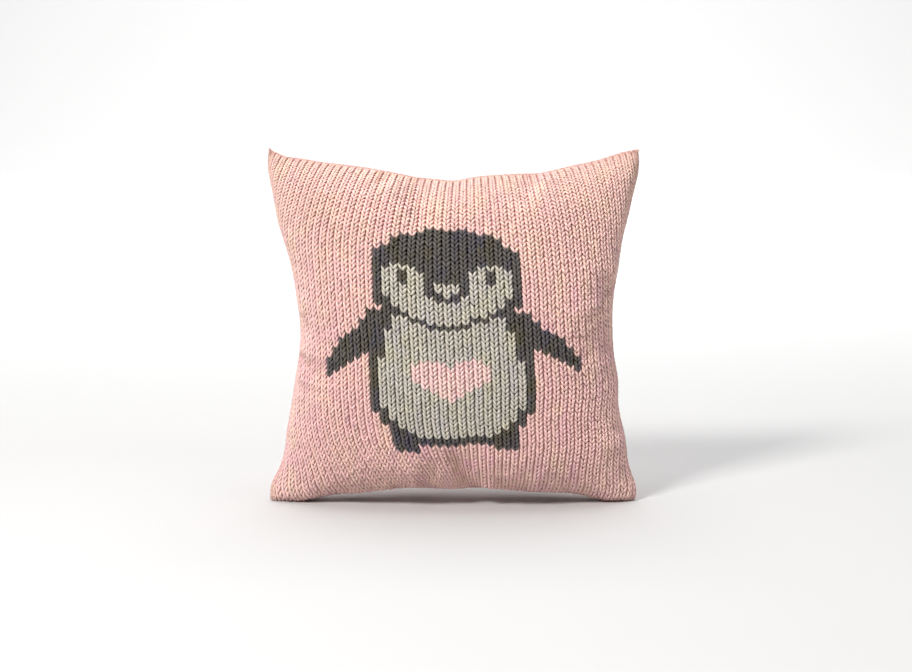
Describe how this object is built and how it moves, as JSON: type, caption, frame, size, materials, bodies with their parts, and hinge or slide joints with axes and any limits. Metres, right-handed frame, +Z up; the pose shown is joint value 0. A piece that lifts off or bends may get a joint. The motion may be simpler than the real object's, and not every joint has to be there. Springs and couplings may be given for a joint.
{
  "type": "knitted throw cushion",
  "caption": "Square stuffed throw cushion: knitted cover with an animal worked into the front, hidden zip in the bottom seam, and a removable filled insert.",
  "frame": {"origin": "on the floor under the middle of the cushion, which stands on its lower corners", "axes": "+Z up the knit columns, -Y out of the decorated front, +X to the right seen from the front"},
  "size_m": [0.446, 0.164, 0.428],
  "materials": {
    "yarn_pink": "chunky stockinette knit in a soft pink heather yarn",
    "yarn_dark": "chunky stockinette knit in a charcoal heather yarn",
    "yarn_light": "chunky stockinette knit in an oatmeal grey heather yarn",
    "yarn_heart": "chunky stockinette knit in a pale pink yarn",
    "seam_yarn": "knit edges joined with matching yarn",
    "zip_tape": "woven polyester zip tape",
    "zip_teeth": "moulded nylon zip teeth",
    "sewing_thread": "polyester sewing thread",
    "zip_metal": "nickel plated zinc",
    "casing": "plain woven white casing",
    "fill": "polyester hollow fibre"
  },
  "bodies": {
    "cushion": {"front_ground": "yarn_pink", "motif_dark_yarn": "yarn_dark", "motif_light_yarn": "yarn_light", "motif_heart_yarn": "yarn_heart", "back_panel": "yarn_pink", "cover_seam": "seam_yarn", "zip_tape_front": "zip_tape", "zip_tape_back": "zip_tape", "zip_teeth_front": "zip_teeth", "zip_teeth_back": "zip_teeth", "zip_stitching": "sewing_thread", "zip_bar_tacks": "sewing_thread", "zip_top_stops": "zip_metal", "zip_bottom_stop": "zip_metal", "insert_front": "casing", "insert_back": "casing", "insert_seam": "sewing_thread", "insert_closing_stitches": "sewing_thread", "filling": "fill"},
    "slider": {"zip_slider": "zip_metal"},
    "pull": {"zip_pull": "zip_metal"}
  },
  "joints": [
    {"name": "zip_slide", "type": "slide", "parent": "cushion", "child": "slider", "axis": [-1, 0, 0], "range_m": [0, 0.215], "deforming": ["zip_teeth_front", "zip_teeth_back"]},
    {"name": "pull_swing", "type": "hinge", "parent": "slider", "child": "pull", "pos_m": [0.108, 0, 0.01465], "axis": [0, -1, 0], "range_deg": [0, 150]}
  ]
}
